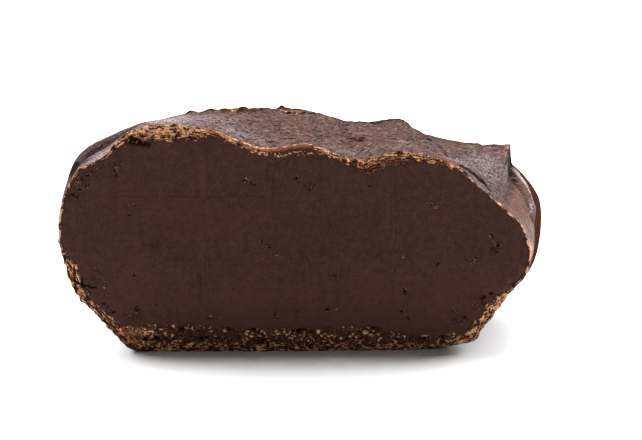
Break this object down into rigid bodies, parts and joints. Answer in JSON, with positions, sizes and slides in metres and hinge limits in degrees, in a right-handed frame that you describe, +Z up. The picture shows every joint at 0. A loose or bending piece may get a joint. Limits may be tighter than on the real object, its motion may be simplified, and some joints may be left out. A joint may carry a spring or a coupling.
{
  "type": "chocolate fudge",
  "caption": "Thick slice of dark chocolate fudge from a hand-formed loaf: flat cut faces, folded glossy skin, crumbly rim and broken foot, standing on its flat base.",
  "frame": {"origin": "on the floor under the middle of the slice's bounding box", "axes": "+X to the right along the front cut, the longest way; +Y from the front cut to the back cut, the shortest way; +Z up"},
  "size_m": [0.159, 0.044, 0.0753],
  "materials": {
    "fudge": "dark chocolate fudge: matt, finely mottled cut faces, with a satin grey-brown skin round them",
    "fudge_crumb": "dry broken fudge crumbs, tan to dark brown, matt and grainy"
  },
  "bodies": {
    "root": {"fudge": "fudge"}
  },
  "joints": []
}
